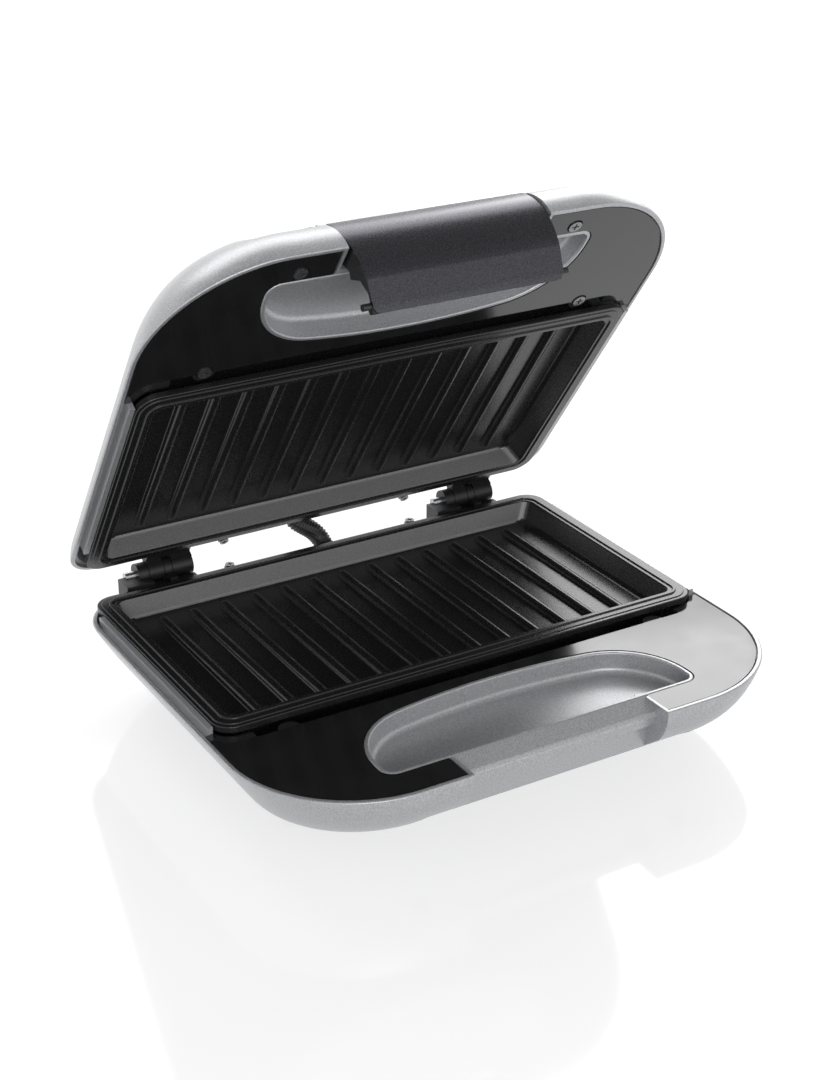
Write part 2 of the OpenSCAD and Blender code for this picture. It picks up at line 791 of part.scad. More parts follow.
block_drop = 8;
block_top = 1.2;
round_from = 8;
tongue_in = 6;
tongue_drop = 5;
flange_t = 1.6;
flange_out = 0.4;
seat = 0.05;
seat_z = 0.02;
module hinge_bracket(x0) {
    top = -edge_drop;
    behind = shell_rear + seat;
    base_place() translate([x0, 0, 0]) difference() {
        union() {
            along_axis(ear_a[0] + round_from, ear_a[1] - ear_a[0] - round_from, barrel_r);
            along_axis(ear_b[0], ear_b[1] - ear_b[0], barrel_r);
            for (e = [ear_a, ear_b]) translate([e[0], fit_gap, top])
                cube([e[1] - e[0], hinge_y - fit_gap, hinge_z - top]);
            translate([0, behind, top - block_drop])
                cube([hinge_len, hinge_y - shell_rear, block_drop - block_top]);
            translate([0, behind, top - block_drop]) cube([ear_a[1], hinge_y - shell_rear, block_drop]);
            translate([tongue_in, fit_gap, top - tongue_drop])
                cube([hinge_len - 1.5*tongue_in, hook_t, tongue_drop + flange_t/2]);
            translate([0, fit_gap, top + seat_z])
                cube([hinge_len, shell_rear - fit_gap + flange_out, flange_t]);
        }
        along_axis(pin_from, hinge_len, pin_r);
        for (k = [knuckle_a, knuckle_b]) along_axis(k[0] - fit_gap, k[1] - k[0] + 2*fit_gap, barrel_r + 0.4);
    }
}

module hinge_bracket_left() {
    color(coated_black) hinge_bracket(left_x);
}

module hinge_bracket_right() {
    color(coated_black) hinge_bracket(right_x);
}

module hinge_pin(x0) {
    base_place() along_axis(x0 + pin_from, pin_to - pin_from, pin_r);
}

module hinge_pin_left() {
    color(bare_steel) hinge_pin(left_x);
}

module hinge_pin_right() {
    color(bare_steel) hinge_pin(right_x);
}

// Barrels of the lid, with an arm that reaches over the lid's rear wall
arm_t_y = 3.6;
arm_h = 9;
tongue_h = 6;
module hinge_knuckle(x0) {
    top = lid_gap + edge_drop;
    behind = shell_rear + seat;
    reach = hinge_len - knuckle_a[0];
    closed_place() translate([x0, 0, 0]) difference() {
        union() {
            for (k = [knuckle_a, knuckle_b]) {
                along_axis(k[0], k[1] - k[0], barrel_r);
                translate([k[0], behind, hinge_z]) cube([k[1] - k[0], hinge_y - shell_rear, barrel_r]);
            }
            translate([knuckle_a[0], behind, top]) cube([reach, arm_t_y, arm_h]);
            translate([knuckle_a[0], fit_gap, top - flange_t/2])
                cube([reach - tongue_in/2, hook_t, flange_t/2 + tongue_h]);
            translate([knuckle_a[0], fit_gap, top - flange_t - seat_z])
                cube([reach, shell_rear - fit_gap + flange_out, flange_t]);
        }
        along_axis(0, hinge_len + cut, bore_r);
        for (e = [ear_a, ear_b]) along_axis(e[0] - fit_gap, e[1] - e[0] + 2*fit_gap, barrel_r + 0.4);
    }
}

module hinge_knuckle_left() {
    color(coated_black) hinge_knuckle(left_x);
}

module hinge_knuckle_right() {
    color(coated_black) hinge_knuckle(right_x);
}

// Braided sleeve round the wires that cross from the base to the lid
sleeve_sides = 10;
sleeve_low = [[5, -5, -20], [5, 0.5, -14.5], [4.2, 4.6, -9], [2.4, 7.8, -3.5], [-0.6, 10, 1]];
sleeve_high = [[-8, 6.4, 6], [-9.3, 3.6, 10.5], [-9.5, 0, 15], [-9.5, -5, 20.5]];
function lid_turn(p) = let (a = lid_open, y = p.y - hinge_y, z = p.z - hinge_z)
    [p.x, hinge_y + y*cos(a) + z*sin(a), hinge_z - y*sin(a) + z*cos(a)];
sleeve_path = concat(sleeve_low, [for (p = sleeve_high) lid_turn(p)]);
function unit(v) = v/norm(v);
module swept_tube(path, r, sides) {
    n = len(path);
    dirs = [for (i = [0:n - 1]) unit(path[min(i + 1, n - 1)] - path[max(i - 1, 0)])];
    loft([for (i = [0:n - 1])
        let (u = unit(cross(dirs[i], [0, 1, 0.3])), v = cross(dirs[i], u))
        [for (k = [0:sides - 1]) path[i] + r*(cos(360*k/sides)*u + sin(360*k/sides)*v)]]);
}

module wire_sleeve() {
    color(rubber_black) base_place() swept_tube(sleeve_path, sleeve_r, sleeve_sides);
}

// Lid: the same shell with its own sweep, a pocket for the latch and holes for two lamps
pocket_top = -22.6;
lamp_x = 11;
lamp_y = shell_front + 76;
lens_r = 3.2;
pin_seat = cheek_t - 0.6;
latch_cy = shell_front + 29.5;
latch_cz = -2;
latch_pivot_y = shell_front + 10.5;
latch_pivot_z = -16.5;
latch_pin_r = 1.5;
module latch_pocket_wall() {
    back = notch_y + lip_w;
    intersection() {
        shell_outside(true);
        translate([-notch_hw - cut, 0, 0]) rotate([90, 0, 90]) linear_extrude(2*(notch_hw + cut))
            polygon([[notch_y, deck_z], [back, deck_z], [back, pocket_top - lip_w],
                [shell_front, pocket_top - lip_w], [shell_front, pocket_top], [notch_y, pocket_top]]);
    }
}

module pocket_cut() {
    translate([-notch_hw, shell_front - cut, pocket_top])
        cube([2*notch_hw, notch_y - shell_front + cut, cut - pocket_top]);
}

module lid_bosses() {
    intersection() {
        shell_outside(true);
        for (p = deck_screws, s = [-1, 1]) translate([s*p.x, p.y, -rim_floor])
            cylinder(h = rim_floor + deck_under, r = boss_r);
    }
}

module upper_shell() {
    color(silver) lid_place() difference() {
        union() {
            difference() {
                union() {
                    shell_form(true);
                    lid_bosses();
                    rear_ledge(left_x + hinge_len + fit_gap, right_x + knuckle_a[0] - fit_gap);
                    plate_screw_bosses();
                }
                pocket_cut();
            }
            latch_pocket_wall();
        }
        grip_scoop(true);
        for (p = deck_screws, s = [-1, 1]) translate([s*p.x, p.y, deck_under - 9])
            cylinder(h = 9 + cut, r = pilot_r);
        plate_screw_holes();
        sleeve_slot(sleeve_high_x);
        for (s = [-1, 1]) translate([s*lamp_x, lamp_y, -rim_floor - cut])
            cylinder(h = 4*wall, r = lens_r);
        both_sides() translate([notch_hw - cut, latch_pivot_y, latch_pivot_z])
            rotate([0, 90, 0]) cylinder(h = pin_seat + cut, r = latch_pin_r);
    }
}

module upper_deck() {
    color(gloss_black) lid_place() difference() {
        deck_form();
        for (p = deck_screws, s = [-1, 1]) translate([s*p.x, p.y, 0]) {
            translate([0, 0, deck_under - cut]) cylinder(h = deck_t + 2*cut, r = screw_r + 0.1);
            translate([0, 0, deck_z - 1]) cylinder(h = 1 + cut, r = head_r + 0.3);
        }
    }
}

module upper_deck_screws() {
    color(bare_steel) lid_place() for (p = deck_screws, s = [-1, 1])
        translate([s*p.x, p.y, deck_z - 1]) rotate([180, 0, 0]) pan_screw(9, pilot_r, head_r - 0.2, 1.5);
}

module upper_plate() {
    color(coated_black) lid_place() plate_form();
}

module upper_plate_screws() {
    color(bare_steel) lid_place() plate_screws();
}

module upper_heating_element() {
    color(dark_metal) lid_place() heating_element();
}

module upper_element_clips() {
    color(bare_steel) lid_place() element_clips();
}

module upper_clip_screws() {
    color(bare_steel) lid_place() clip_screws();
}

module upper_heat_shield() {
    color(bare_steel) lid_place() heat_shield();
}

module upper_shield_screws() {
    color(bare_steel) lid_place() shield_screws();
}

module upper_thermostat() {
    color("ivory") lid_place() thermostat();
}

// Lens: a flange on the lid's top, a sleeve that holds the lamp behind it
module lens(x) {
    lid_place() translate([x, lamp_y, -rim_floor]) difference() {
        union() {
            translate([0, 0, -1]) cylinder(h = 1, r = lens_r + 0.8);
            cylinder(h = 12, r = lens_r);
        }
        translate([0, 0, 1]) cylinder(h = 12, r = lens_r - 0.9);
    }
}

module lamp(x) {
    lid_place() translate([x, lamp_y, -rim_floor + 3.3]) {
        sphere(lens_r - 0.9);
        cylinder(h = 11, r = lens_r - 0.9);
    }
}

module power_lens() {
    color("red") lens(-lamp_x);
}

module ready_lens() {
    color("green") lens(lamp_x);
}

module power_lamp() {
    color("orange") lamp(-lamp_x);
}

module ready_lamp() {
    color("orange") lamp(lamp_x);
}

// Latch: a curved metal cover on a moulded frame that swings on two pins in the lid's cheeks
latch_hw = latch_w/2;
latch_top_a = 42;
latch_low_a = -47;
arm_t = 2.5;
hook_from = 19.6;
hook_len = 3.2;
hook_t_z = 1.8;
arm_boss_r = 3;
frame_t = 1;
module latch_arc(inner, outer, hw, from, to) {
    translate([0, latch_cy, latch_cz]) rotate([90, 0, -90])
        translate([0, 0, -hw]) linear_extrude(2*hw) arc_sector(inner, outer, from, to);
}

module arc_sector(inner, outer, from, to) {
    far = 2*outer;
    difference() {
        circle(outer, $fn = 128);
        circle(inner, $fn = 128);
        polygon(concat([[0, 0]], arc_points(0, 0, far, to, from + 360, 6)));
    }
}

// The latch narrows towards its lower edge
latch_taper = 1.6;
taper_from = -8;
taper_to = 19.1;
module latch_sides(hw) {
    translate([0, shell_front + 20, 0]) rotate([90, 0, 0]) linear_extrude(40)
        polygon([[-hw, -30], [hw, -30], [hw, taper_from], [hw - latch_taper, taper_to],
            [hw - latch_taper, 30], [latch_taper - hw, 30], [latch_taper - hw, taper_to], [-hw, taper_from]]);
}

module latch_cover() {
    color(dark_metal) lid_place() intersection() {
        latch_arc(latch_r - cover_t, latch_r, latch_hw + cut, -latch_top_a, -latch_low_a);
        latch_sides(latch_hw);
    }
}

module latch_arms(hw) {
    both_sides() translate([hw - arm_t, 0, 0]) rotate([90, 0, 90]) linear_extrude(arm_t + cut) {
        polygon([[latch_cy - 22, 16], [latch_cy - 22.6, 11], [latch_cy - 22.4, 6], [latch_cy - 17.5, 1.5],
            [latch_cy - 19.5, -1], [latch_cy - 17, -8], [latch_pivot_y + arm_boss_r, latch_pivot_z],
            [latch_pivot_y + 1.5, latch_pivot_z - 4], [latch_pivot_y - 12, latch_pivot_z - 6],
            [latch_cy - 40, -8], [latch_cy - 40, 16]]);
        translate([latch_pivot_y, latch_pivot_z]) circle(arm_boss_r);
    }
}

frame_hw = latch_hw - 0.2;
pin_start = frame_hw - arm_t - 0.8;
module latch_frame() {
    inner = latch_r - cover_t - frame_t;
    hw = frame_hw;
    color(gloss_black) lid_place() difference() {
        union() {
            intersection() {
                latch_sides(hw);
                union() {
                    latch_arc(inner, latch_r - cover_t, hw + cut, -latch_top_a, -latch_low_a);
                    intersection() {
                        translate([0, latch_cy, latch_cz]) rotate([0, 90, 0])
                            cylinder(h = 2*latch_w, r = latch_r - cover_t - frame_t/2, center = true);
                        latch_arms(hw);
                    }
                }
            }
            translate([-hw + 1.8, latch_cy - hook_from, -snap_z - 0.3])
                cube([2*(hw - 1.8), hook_len, hook_t_z]);
            both_sides() translate([hw - arm_t, shell_front + snap_y, -snap_z]) rotate([0, 90, 0])
                cylinder(h = arm_t + snap_out + 0.5, r = snap_r);
        }
        both_sides() translate([hw - arm_t - cut, latch_pivot_y, latch_pivot_z]) rotate([0, 90, 0])
            cylinder(h = arm_t + 2*cut, r = latch_pin_r + pin_clear);
    }
}

module latch_pins() {
    color(bare_steel) lid_place() both_sides()
        translate([pin_start, latch_pivot_y, latch_pivot_z]) rotate([0, 90, 0])
            cylinder(h = notch_hw + pin_seat - pin_start, r = latch_pin_r);
}

// Places: the base on its feet, the lid turned over and swung up about the hinge axis
module base_place() {
    translate([0, origin_y, rim_height]) children();
}

module closed_place() {
    translate([0, origin_y + hinge_y, rim_height + hinge_z]) rotate([-lid_open, 0, 0])
        translate([0, -hinge_y, -hinge_z]) children();
}

module lid_place() {
    closed_place() translate([0, 0, lid_gap]) mirror([0, 0, 1]) children();
}

lower_shell();
lower_deck();
lower_plate();
lower_heating_element();
lower_element_clips();
lower_clip_screws();
lower_heat_shield();
lower_shield_screws();
lower_thermostat();
lower_plate_screws();
lower_deck_screws();
thermal_fuse();
terminal_block();
cord_inlet();
rubber_feet();
hinge_bracket_left();
hinge_bracket_right();
hinge_pin_left();
hinge_pin_right();
wire_sleeve();
upper_shell();
upper_deck();
upper_plate();
upper_heating_element();
upper_element_clips();
upper_clip_screws();
upper_heat_shield();
upper_shield_screws();
upper_thermostat();
upper_plate_screws();
upper_deck_screws();
hinge_knuckle_left();
hinge_knuckle_right();
power_lens();
ready_lens();
power_lamp();
ready_lamp();
latch_cover();
latch_frame();
latch_pins();
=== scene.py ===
import bpy
import bmesh
import json
import math
from mathutils import Matrix, Vector


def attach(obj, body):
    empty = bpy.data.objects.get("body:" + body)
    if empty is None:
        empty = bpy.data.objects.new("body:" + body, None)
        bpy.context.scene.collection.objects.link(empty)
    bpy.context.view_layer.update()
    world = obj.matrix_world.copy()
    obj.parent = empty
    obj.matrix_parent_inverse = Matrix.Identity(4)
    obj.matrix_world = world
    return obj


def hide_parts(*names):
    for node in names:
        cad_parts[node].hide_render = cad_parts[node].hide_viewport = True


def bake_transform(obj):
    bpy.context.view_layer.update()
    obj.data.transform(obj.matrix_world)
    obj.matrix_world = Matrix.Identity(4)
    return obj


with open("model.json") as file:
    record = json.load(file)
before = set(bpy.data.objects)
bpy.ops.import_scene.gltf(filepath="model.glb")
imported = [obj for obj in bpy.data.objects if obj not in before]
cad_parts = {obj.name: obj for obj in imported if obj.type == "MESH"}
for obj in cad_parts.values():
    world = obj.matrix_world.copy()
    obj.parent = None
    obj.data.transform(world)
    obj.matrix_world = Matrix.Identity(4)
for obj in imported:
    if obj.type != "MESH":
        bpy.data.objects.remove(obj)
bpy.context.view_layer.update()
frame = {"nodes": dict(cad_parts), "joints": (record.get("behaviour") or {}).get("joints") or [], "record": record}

print("stage: frame loaded")

mm = 0.001
nodes = frame["nodes"]

# both halves are laid out in millimetres about their own plate: x right, y back, depth downwards;
# the lid's layout is turned over and swung up about the hinge
hinge = next(j for j in frame["joints"] if j["name"] == "lid_hinge")
hingePoint = Vector(hinge["pos_m"])
layout = {"hingeY": 10.5, "hingeZ": 0.25, "lidGap": 0.5, "lidOpen": hinge["range_deg"][1]}
toBase = Matrix.Translation(hingePoint - Vector((0, layout["hingeY"], layout["hingeZ"]))*mm) @ Matrix.Scale(mm, 4)
toLid = (Matrix.Translation(hingePoint) @ Matrix.Rotation(math.radians(-layout["lidOpen"]), 4, "X")
         @ Matrix.Scale(mm, 4) @ Matrix.Translation((0, -layout["hingeY"], layout["lidGap"] - layout["hingeZ"]))
         @ Matrix.Scale(-1, 4, (0, 0, 1)))


def srgb(text):  # sRGB hex to linear colour
    parts = [int(text[i:i + 2], 16)/255 for i in (1, 3, 5)]
    return tuple(c/12.92 if c <= 0.04045 else ((c + 0.055)/1.055)**2.4 for c in parts) + (1.0,)


def addNode(tree, kind, inputs=None, **settings):  # one node with its settings and its links
    node = tree.nodes.new(kind)
    for key, value in settings.items():
        setattr(node, key, value)
    for key, value in (inputs or {}).items():
        socket = node.inputs[key]
        if isinstance(value, bpy.types.NodeSocket):
            tree.links.new(value, socket)
        else:
            socket.default_value = value
    return node


def newMaterial(name, shaderInputs):
    material = bpy.data.materials.new(name)
    material.use_nodes = True
    tree = material.node_tree
    tree.nodes.clear()
    out = addNode(tree, "ShaderNodeOutputMaterial")
    shader = addNode(tree, "ShaderNodeBsdfPrincipled", shaderInputs)
    tree.links.new(shader.outputs[0], out.inputs["Surface"])
    return material, tree, shader


def grainOf(tree, shader, size, contrast, dark, light, bump, roughness, detail=2.0):
    # fine noise of one real grain size (mm) that drives colour, roughness and a small bump
    where = addNode(tree, "ShaderNodeTexCoord")
    noise = addNode(tree, "ShaderNodeTexNoise", {"Vector": where.outputs["Object"], "Scale": 1/(size*mm),
                                                 "Detail": detail, "Roughness": 0.6})
    tone = addNode(tree, "ShaderNodeMapRange", {"Value": noise.outputs["Fac"], "From Min": 0.5 - contrast,
                                                "From Max": 0.5 + contrast})
    colour = addNode(tree, "ShaderNodeMix", {"Factor": tone.outputs["Result"], "A": srgb(dark), "B": srgb(light)},
                     data_type="RGBA")
    tree.links.new(colour.outputs["Result"], shader.inputs["Base Color"])
    rough = addNode(tree, "ShaderNodeMapRange", {"Value": noise.outputs["Fac"], "From Min": 0.3, "From Max": 0.7,
                                                 "To Min": roughness[0], "To Max": roughness[1]})
    tree.links.new(rough.outputs["Result"], shader.inputs["Roughness"])
    bumped = addNode(tree, "ShaderNodeBump", {"Height": noise.outputs["Fac"], "Strength": bump, "Distance": 0.05*mm})
    tree.links.new(bumped.outputs["Normal"], shader.inputs["Normal"])
    return where, noise, bumped


# Sprayed metallic lacquer on moulded ABS: tiny flakes give a soft satin shine with a fine grain.
# Real flakes are about 0.05 mm and are drawn at 0.45 mm so that they show.
def silverLacquer():
    material, tree, shader = newMaterial("silver_lacquer_sprayed", {"Metallic": 0.55, "IOR": 1.5,
                                                                    "Coat Weight": 0.25, "Coat Roughness": 0.25})
    grainOf(tree, shader, 0.45, 0.22, "#9a9b9e", "#c6c7ca", 0.35, (0.3, 0.46), 1.0)
    return material


# Polished black ABS: a mirror-like moulded face, very slightly wavy, that reflects what is near it.
def glossBlackAbs():
    material, tree, shader = newMaterial("black_abs_polished", {"IOR": 1.5, "Specular IOR Level": 0.6})
    where, noise, bumped = grainOf(tree, shader, 14, 0.3, "#1b1b1c", "#222223", 0.06, (0.06, 0.12), 1.0)
    bumped.inputs["Distance"].default_value = 0.12*mm
    return material


# Sprayed PTFE on cast aluminium: satin black, with a fine pebbled skin of about 0.3 mm.
def nonStick():
    material, tree, shader = newMaterial("ptfe_coating_sprayed", {"IOR": 1.42, "Specular IOR Level": 0.8})
    grainOf(tree, shader, 0.5, 0.25, "#161617", "#212122", 0.4, (0.2, 0.33))
    return material


# A lit copy of the same coating, painted lighter with a metallic sheen and finer grain: painted light for the pans'
# rear walls.
def paintedSheenCoating():
    material, tree, shader = newMaterial("ptfe_coating_painted_sheen", {"Metallic": 0.45})
    grainOf(tree, shader, 0.4, 0.3, "#5c5c5d", "#8a8a8b", 0.5, (0.42, 0.55))
    return material


# Anodised aluminium sheet, bead blasted and rolled: dark, slightly blue, with sparkling grain.
# Blasting leaves pits of 0.1 mm, drawn at 0.5 mm so that they show.
def darkAnodised():
    material, tree, shader = newMaterial("dark_aluminium_anodised", {"Metallic": 0.9})
    grainOf(tree, shader, 0.5, 0.3, "#36363a", "#59595f", 0.35, (0.2, 0.3), 1.5)
    return material


# Moulded ABS with a spark-eroded grain of about 0.4 mm: dull black with a soft sheen.
def grainedAbs():
    material, tree, shader = newMaterial("black_abs_grained", {"IOR": 1.5})
    grainOf(tree, shader, 0.4, 0.25, "#0f0f10", "#1b1b1c", 0.6, (0.36, 0.5))
    return material


# Turned steel with zinc plating: bright, with faint scratches.
def zincSteel():
    material, tree, shader = newMaterial("steel_zinc_plated", {"Metallic": 1.0})
    grainOf(tree, shader, 0.6, 0.3, "#9a9da2", "#cfd1d4", 0.25, (0.2, 0.34))
    return material


# Blackened screw steel: dark metal, worn a little brighter on its edges.
def darkScrew():
    material, tree, shader = newMaterial("steel_blackened", {"Metallic": 0.9})
    grainOf(tree, shader, 0.7, 0.3, "#6a6a6c", "#a0a0a3", 0.3, (0.24, 0.4))
    return material


# Vulcanised rubber: matt and slightly dusty.
def mouldedRubber():
    material, tree, shader = newMaterial("rubber_moulded", {"IOR": 1.52})
    grainOf(tree, shader, 1.2, 0.35, "#141414", "#242423", 0.4, (0.62, 0.8))
    return material


# Pressed steatite: cream white with a fine, dry grain.
def pressedCeramic():
    material, tree, shader = newMaterial("steatite_pressed", {"IOR": 1.6})
    grainOf(tree, shader, 0.8, 0.35, "#d8d3c6", "#eae6da", 0.3, (0.35, 0.5))
    return material


# Annealed steel sheath of a tube heater: grey brown with heat tint.
def heaterSheath():
    material, tree, shader = newMaterial("heater_sheath_annealed", {"Metallic": 0.9})
    grainOf(tree, shader, 4, 0.35, "#4a4642", "#6e6963", 0.25, (0.35, 0.5))
    return material


# Braided glass sleeve soaked in varnish: dark cord with a crossed weave of 1 mm strands.
def braidedSleeve():
    material, tree, shader = newMaterial("glass_braid_varnished", {"IOR": 1.5})
    where, noise, bumped = grainOf(tree, shader, 0.5, 0.3, "#101010", "#2a2a2a", 0.5, (0.35, 0.55))
    turned = addNode(tree, "ShaderNodeMapping", {"Vector": where.outputs["Object"], "Rotation": (0.6, 0.4, 0.8)})
    weave = addNode(tree, "ShaderNodeTexWave", {"Vector": turned.outputs["Vector"], "Scale": 1/(6*mm)},
                    wave_type="BANDS", bands_direction="DIAGONAL")
    woven = addNode(tree, "ShaderNodeBump", {"Height": weave.outputs["Fac"], "Strength": 0.8, "Distance": 0.2*mm,
                                             "Normal": bumped.outputs["Normal"]})
    tree.links.new(woven.outputs["Normal"], shader.inputs["Normal"])
    return material


# Tinted polycarbonate of a lamp lens: glossy and half clear.
def tintedLens(name, dark, light):
    material, tree, shader = newMaterial(name, {"IOR": 1.58, "Transmission Weight": 0.5})
    grainOf(tree, shader, 2, 0.35, dark, light, 0.1, (0.08, 0.16))
    return material


finishes = {
    "silver_paint": silverLacquer(), "gloss_black_plastic": glossBlackAbs(), "non_stick_coating": nonStick(),
    "heater_sheath": heaterSheath(), "zinc_steel": zincSteel(), "dark_screw": darkScrew(),
    "white_ceramic": pressedCeramic(), "black_rubber": mouldedRubber(), "matte_black_plastic": grainedAbs(),
    "braided_sleeve": braidedSleeve(), "red_lens": tintedLens("red_polycarbonate", "#a01010", "#c81a16"),
    "green_lens": tintedLens("green_polycarbonate", "#0f7a2c", "#18a040"),
    "lamp_glass": tintedLens("lamp_glass", "#d9a070", "#f0c090"), "dark_metal_cover": darkAnodised()}

slotOf = {}
for entry in frame["record"]["subparts"]:
    slotOf[entry["node"]] = entry["material_slot"]
for name, node in nodes.items():
    node.data.materials.clear()
    node.data.materials.append(finishes[slotOf[name]])
print("stage: materials made")


# small tools for outlines, skins and pieces, all in millimetres

def arc(cx, cy, r, start, end, steps):
    angles = [math.radians(start + (end - start)*i/steps) for i in range(steps + 1)]
    return [(cx + r*math.cos(a), cy + r*math.sin(a)) for a in angles]


def smoothStep(low, high, value):
    t = min(1.0, max(0.0, (value - low)/(high - low)))
    return t*t*(3 - 2*t)


def filletPath(points, radii, steps=4):  # rounds the corners of an open path
    path = [Vector(points[0])]
    for before, corner, after, r in zip(points, points[1:], points[2:], radii):
        a, b, c = Vector(before), Vector(corner), Vector(after)
        u, v = (a - b).normalized(), (c - b).normalized()
        turn = u.angle(v)
        if r <= 0 or turn > math.pi - 0.02:
            path.append(b)
            continue
        back = min(r/math.tan(turn/2), 0.48*(a - b).length, 0.48*(c - b).length)
        r = back*math.tan(turn/2)
        centre = b + (u + v).normalized()*(r/math.sin(turn/2))
        start, end = b + u*back - centre, b + v*back - centre
        sweep = start.angle_signed(end)
        for i in range(steps + 1):
            spin = Matrix.Rotation(-sweep*i/steps, 2)
            path.append(centre + spin @ start)
    path.append(Vector(points[-1]))
    return path


def roundedRing(halfWidth, front, rear, frontR, rearR, z, steps=16, spans=(12, 6, 6, 6)):
    corners = ((frontR - halfWidth, front + frontR, frontR, 180), (halfWidth - frontR, front + frontR, frontR, 270),
               (halfWidth - rearR, rear - rearR, rearR, 0), (rearR - halfWidth, rear - rearR, rearR, 90))
    arcs = [arc(cx, cy, r, a, a + 90, steps) for cx, cy, r, a in corners]
    ring = []
    for i, points in enumerate(arcs):
        ring += points
        (x0, y0), (x1, y1) = points[-1], arcs[(i + 1) % 4][0]
        ring += [(x0 + (x1 - x0)*k/spans[i], y0 + (y1 - y0)*k/spans[i]) for k in range(1, spans[i])]
    return [(x, y, z) for x, y in ring]


def skin(rings):  # closed skin over rings with the same number of points
    n = len(rings[0])
    verts = [p for ring in rings for p in ring]
    faces = [tuple(range(n)), tuple(reversed(range((len(rings) - 1)*n, len(rings)*n)))]
    for k in range(len(rings) - 1):
        for i in range(n):
            j = (i + 1) % n
            faces.append((k*n + i, (k + 1)*n + i, (k + 1)*n + j, k*n + j))
    return verts, faces


def prismAcross(profile, fromX, toX):  # a side view (y, z) drawn out along x
    return skin([[(x, p[0], p[1]) for p in profile] for x in (fromX, toX)])


def prismUp(outline, low, high):
    return skin([[(x, y, z) for x, y in outline] for z in (low, high)])


def boxAt(low, high):
    return prismUp([(low[0], low[1]), (high[0], low[1]), (high[0], high[1]), (low[0], high[1])], low[2], high[2])


def mirrored(part):
    return [(-x, y, z) for x, y, z in part[0]], part[1]


def meshFrom(name, parts, place=None):
    bm = bmesh.new()
    for verts, faces in parts:
        made = [bm.verts.new(v) for v in verts]
        for face in faces:
            bm.faces.new([made[i] for i in face])
    bmesh.ops.remove_doubles(bm, verts=bm.verts, dist=0.0005)
    if place is not None:
        bm.transform(place)
    bmesh.ops.recalc_face_normals(bm, faces=bm.faces)
    mesh = bpy.data.meshes.new(name)
    bm.to_mesh(mesh)
    bm.free()
    piece = bpy.data.objects.new(name, mesh)
    bpy.context.scene.collection.objects.link(piece)
    return piece


def settled(piece):  # turns the result of its modifiers into its plain mesh
    shapes = bpy.context.evaluated_depsgraph_get()
    mesh = bpy.data.meshes.new_from_object(piece.evaluated_get(shapes))
    piece.modifiers.clear()
    piece.data = mesh
    return piece


def cutWith(piece, cutters):
    tools = [meshFrom("cutter", [cutter]) for cutter in cutters]
    for tool in tools:
        step = piece.modifiers.new("cut", "BOOLEAN")
        step.operation, step.solver, step.object = "DIFFERENCE", "EXACT", tool
    settled(piece)
    for tool in tools:
        bpy.data.objects.remove(tool)
    return piece


def roundEdges(piece, width, angle=40, segments=2):
    step = piece.modifiers.new("rounded edges", "BEVEL")
    step.width, step.segments, step.limit_method = width*mm, segments, "ANGLE"
    step.angle_limit = math.radians(angle)
    step.use_clamp_overlap = True
    return settled(piece)


def dress(piece, slot, body, replaced=(), smooth=32):
    piece.data.materials.clear()
    piece.data.materials.append(finishes[slot])
    piece.data.shade_smooth()
    piece.data.set_sharp_from_angle(angle=math.radians(smooth))
    weigh = piece.modifiers.new("weighted normals", "WEIGHTED_NORMAL")
    weigh.keep_sharp, weigh.weight = True, 90
    settled(piece)
    if body:
        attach(piece, body)
    if replaced:
        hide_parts(*replaced)
    return piece


def copyOfNode(name, width, body, angle=35, segments=2):  # a CAD piece with its edges rounded
    bm = bmesh.new()
    bm.from_mesh(nodes[name].data)
    bmesh.ops.remove_doubles(bm, verts=bm.verts, dist=1e-6)
    bmesh.ops.dissolve_limit(bm, angle_limit=math.radians(1), verts=bm.verts, edges=bm.edges)
    mesh = bpy.data.meshes.new(name + "_rounded")
    bm.to_mesh(mesh)
    bm.free()
    piece = bpy.data.objects.new(name + "_rounded", mesh)
    bpy.context.scene.collection.objects.link(piece)
    roundEdges(piece, width, angle, segments)
    return dress(piece, slotOf[name], body, [name])


# camera, solved from the picture: where it stands, its axes and its lens
view = {"place": (-0.36246, -0.61011, 0.40789), "right": (0.855645, -0.517549, 0.003921),
        "up": (0.222530, 0.374720, 0.900036), "focalPixels": 1950.8, "middle": (434.89, 563.45), "image": (830, 1080)}


def makeCamera():
    data = bpy.data.cameras.new("camera")
    camera = bpy.data.objects.new("camera", data)
    bpy.context.scene.collection.objects.link(camera)
    right, up = Vector(view["right"]), Vector(view["up"])
    back = right.cross(up)
    rows = Matrix((right, up, back)).transposed()
    camera.matrix_world = Matrix.Translation(view["place"]) @ rows.to_4x4()
    wide, high = view["image"]
    data.sensor_fit = "VERTICAL"
    data.sensor_height = 24
    data.sensor_width = 24
    data.lens = view["focalPixels"]*24/high
    data.shift_x = (wide/2 - view["middle"][0])/high
    data.shift_y = (view["middle"][1] - high/2)/high
    data.clip_start = 0.05
    bpy.context.scene.camera = camera


makeCamera()

# the moulded shells: how far the wall draws in from the edge (t = 0) to the bottom (t = 1)
shell = {"halfWidth": 116, "front": -192.5, "rear": 5, "edge": -4, "depth": 34, "wall": 2.3, "lip": 1.9,
         "cornerR": 52, "slope": 0.6, "slopeEdge": 1.5, "bottomRound": 10, "rearRound": 10,
         "scoopStep": 1, "scoopBack": -142.5, "edgeRound": 0.6}
baseForm = {"lid": False, "rearR": 26, "sweep": 42, "curve": 2.5, "tighten": 24, "scoopHalf": 59}
lidForm = {"lid": True, "rearR": 14, "sweep": 39, "curve": 2.3, "tighten": 30, "side": 28.6, "sideCurve": 1.46,
           "scoopHalf": 71}


def sideInset(t, form):
    if form["lid"]:
        return form["side"]*t**form["sideCurve"]
    drop, edge = t*shell["depth"], shell["slopeEdge"]
    return shell["slope"]*(math.hypot(drop, edge) - edge) + shell["bottomRound"]*t**6


